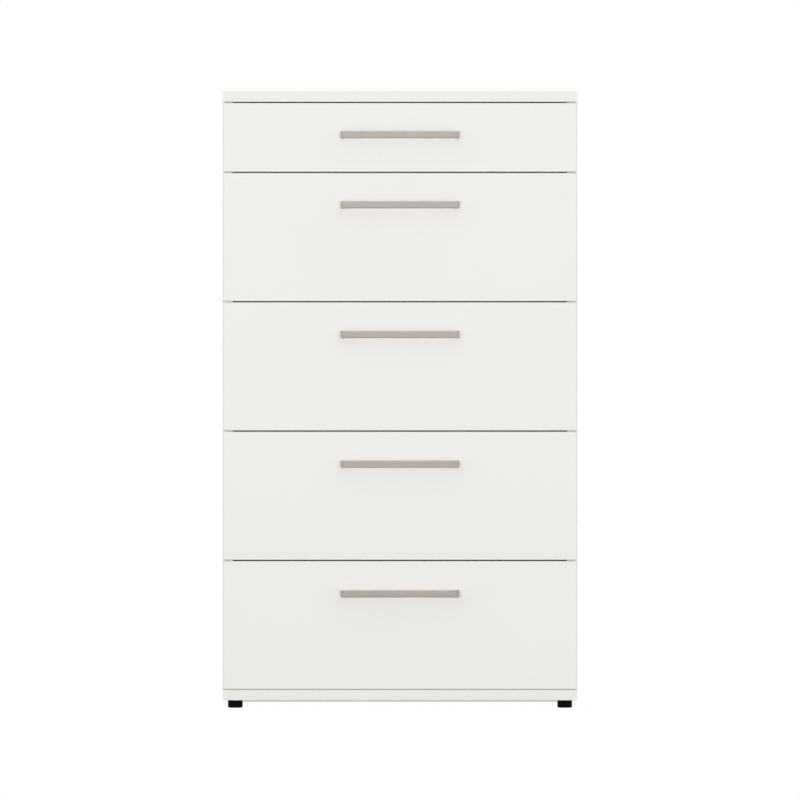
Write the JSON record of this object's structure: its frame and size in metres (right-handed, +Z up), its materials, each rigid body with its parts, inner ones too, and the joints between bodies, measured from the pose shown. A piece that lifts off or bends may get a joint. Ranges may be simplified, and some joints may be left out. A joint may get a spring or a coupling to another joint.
{
  "type": "chest of drawers",
  "caption": "Tall narrow white chest with a shallow drawer over equal deep ones, satin bow handles, round black feet and roller runners.",
  "frame": {"origin": "on the floor, under the middle of the bounding box, handles included", "axes": "+Z up, the drawers open towards -Y, +X to the right seen from the front"},
  "size_m": [0.6, 0.448, 1.044],
  "materials": {
    "white_board": "white melamine-faced chipboard, satin",
    "drawer_lining": "white foil-wrapped board, matt",
    "hardboard": "brown hardboard, bare fibres outside and white lacquer inside",
    "satin_steel": "satin nickel",
    "black_plastic": "moulded, matt black",
    "coated_steel": "white epoxy coat",
    "nylon": "natural white nylon",
    "zinc_fittings": "bright zinc",
    "beech": "bare beech"
  },
  "bodies": {
    "carcass": {"top_panel": "white_board", "base_panel": "white_board", "side_panel_left": "white_board", "side_panel_right": "white_board", "back_panel": "hardboard", "feet": "black_plastic", "dowels": "beech", "carcass_fittings": "zinc_fittings", "cabinet_rails_left": "coated_steel", "cabinet_rails_right": "coated_steel"},
    "drawer_1": {"drawer_1_front": "white_board", "drawer_1_handle": "satin_steel", "drawer_1_side_left": "drawer_lining", "drawer_1_side_right": "drawer_lining", "drawer_1_back": "drawer_lining", "drawer_1_bottom": "drawer_lining", "drawer_1_rails": "coated_steel", "drawer_1_fittings": "zinc_fittings"},
    "drawer_2": {"drawer_2_front": "white_board", "drawer_2_handle": "satin_steel", "drawer_2_side_left": "drawer_lining", "drawer_2_side_right": "drawer_lining", "drawer_2_back": "drawer_lining", "drawer_2_bottom": "drawer_lining", "drawer_2_rails": "coated_steel", "drawer_2_fittings": "zinc_fittings"},
    "drawer_3": {"drawer_3_front": "white_board", "drawer_3_handle": "satin_steel", "drawer_3_side_left": "drawer_lining", "drawer_3_side_right": "drawer_lining", "drawer_3_back": "drawer_lining", "drawer_3_bottom": "drawer_lining", "drawer_3_rails": "coated_steel", "drawer_3_fittings": "zinc_fittings"},
    "drawer_4": {"drawer_4_front": "white_board", "drawer_4_handle": "satin_steel", "drawer_4_side_left": "drawer_lining", "drawer_4_side_right": "drawer_lining", "drawer_4_back": "drawer_lining", "drawer_4_bottom": "drawer_lining", "drawer_4_rails": "coated_steel", "drawer_4_fittings": "zinc_fittings"},
    "drawer_5": {"drawer_5_front": "white_board", "drawer_5_handle": "satin_steel", "drawer_5_side_left": "drawer_lining", "drawer_5_side_right": "drawer_lining", "drawer_5_back": "drawer_lining", "drawer_5_bottom": "drawer_lining", "drawer_5_rails": "coated_steel", "drawer_5_fittings": "zinc_fittings"},
    "front_rollers_1": {"front_rollers_1": "nylon"},
    "front_rollers_2": {"front_rollers_2": "nylon"},
    "front_rollers_3": {"front_rollers_3": "nylon"},
    "front_rollers_4": {"front_rollers_4": "nylon"},
    "front_rollers_5": {"front_rollers_5": "nylon"},
    "rear_rollers_1": {"rear_rollers_1": "nylon"},
    "rear_rollers_2": {"rear_rollers_2": "nylon"},
    "rear_rollers_3": {"rear_rollers_3": "nylon"},
    "rear_rollers_4": {"rear_rollers_4": "nylon"},
    "rear_rollers_5": {"rear_rollers_5": "nylon"}
  },
  "joints": [
    {"name": "drawer_1_slide", "type": "slide", "parent": "carcass", "child": "drawer_1", "axis": [0, -1, 0], "range_m": [0, 0.274]},
    {"name": "drawer_2_slide", "type": "slide", "parent": "carcass", "child": "drawer_2", "axis": [0, -1, 0], "range_m": [0, 0.274]},
    {"name": "drawer_3_slide", "type": "slide", "parent": "carcass", "child": "drawer_3", "axis": [0, -1, 0], "range_m": [0, 0.274]},
    {"name": "drawer_4_slide", "type": "slide", "parent": "carcass", "child": "drawer_4", "axis": [0, -1, 0], "range_m": [0, 0.274]},
    {"name": "drawer_5_slide", "type": "slide", "parent": "carcass", "child": "drawer_5", "axis": [0, -1, 0], "range_m": [0, 0.274]},
    {"name": "front_rollers_1_turn", "type": "hinge", "parent": "carcass", "child": "front_rollers_1", "pos_m": [0, -0.164, 0.94325], "axis": [1, 0, 0], "range_deg": [0, 1750]},
    {"name": "rear_rollers_1_turn", "type": "hinge", "parent": "drawer_1", "child": "rear_rollers_1", "pos_m": [0, 0.162, 0.94105], "axis": [1, 0, 0], "range_deg": [0, 1750]},
    {"name": "front_rollers_2_turn", "type": "hinge", "parent": "carcass", "child": "front_rollers_2", "pos_m": [0, -0.164, 0.7245], "axis": [1, 0, 0], "range_deg": [0, 1750]},
    {"name": "rear_rollers_2_turn", "type": "hinge", "parent": "drawer_2", "child": "rear_rollers_2", "pos_m": [0, 0.162, 0.7223], "axis": [1, 0, 0], "range_deg": [0, 1750]},
    {"name": "front_rollers_3_turn", "type": "hinge", "parent": "carcass", "child": "front_rollers_3", "pos_m": [0, -0.164, 0.50575], "axis": [1, 0, 0], "range_deg": [0, 1750]},
    {"name": "rear_rollers_3_turn", "type": "hinge", "parent": "drawer_3", "child": "rear_rollers_3", "pos_m": [0, 0.162, 0.50355], "axis": [1, 0, 0], "range_deg": [0, 1750]},
    {"name": "front_rollers_4_turn", "type": "hinge", "parent": "carcass", "child": "front_rollers_4", "pos_m": [0, -0.164, 0.287], "axis": [1, 0, 0], "range_deg": [0, 1750]},
    {"name": "rear_rollers_4_turn", "type": "hinge", "parent": "drawer_4", "child": "rear_rollers_4", "pos_m": [0, 0.162, 0.2848], "axis": [1, 0, 0], "range_deg": [0, 1750]},
    {"name": "front_rollers_5_turn", "type": "hinge", "parent": "carcass", "child": "front_rollers_5", "pos_m": [0, -0.164, 0.06825], "axis": [1, 0, 0], "range_deg": [0, 1750]},
    {"name": "rear_rollers_5_turn", "type": "hinge", "parent": "drawer_5", "child": "rear_rollers_5", "pos_m": [0, 0.162, 0.06605], "axis": [1, 0, 0], "range_deg": [0, 1750]}
  ],
  "couplings": [
    {"joint": "front_rollers_1_turn", "follows": "drawer_1_slide", "rad_per_m": 111.11},
    {"joint": "rear_rollers_1_turn", "follows": "drawer_1_slide", "rad_per_m": 111.11},
    {"joint": "front_rollers_2_turn", "follows": "drawer_2_slide", "rad_per_m": 111.11},
    {"joint": "rear_rollers_2_turn", "follows": "drawer_2_slide", "rad_per_m": 111.11},
    {"joint": "front_rollers_3_turn", "follows": "drawer_3_slide", "rad_per_m": 111.11},
    {"joint": "rear_rollers_3_turn", "follows": "drawer_3_slide", "rad_per_m": 111.11},
    {"joint": "front_rollers_4_turn", "follows": "drawer_4_slide", "rad_per_m": 111.11},
    {"joint": "rear_rollers_4_turn", "follows": "drawer_4_slide", "rad_per_m": 111.11},
    {"joint": "front_rollers_5_turn", "follows": "drawer_5_slide", "rad_per_m": 111.11},
    {"joint": "rear_rollers_5_turn", "follows": "drawer_5_slide", "rad_per_m": 111.11}
  ]
}
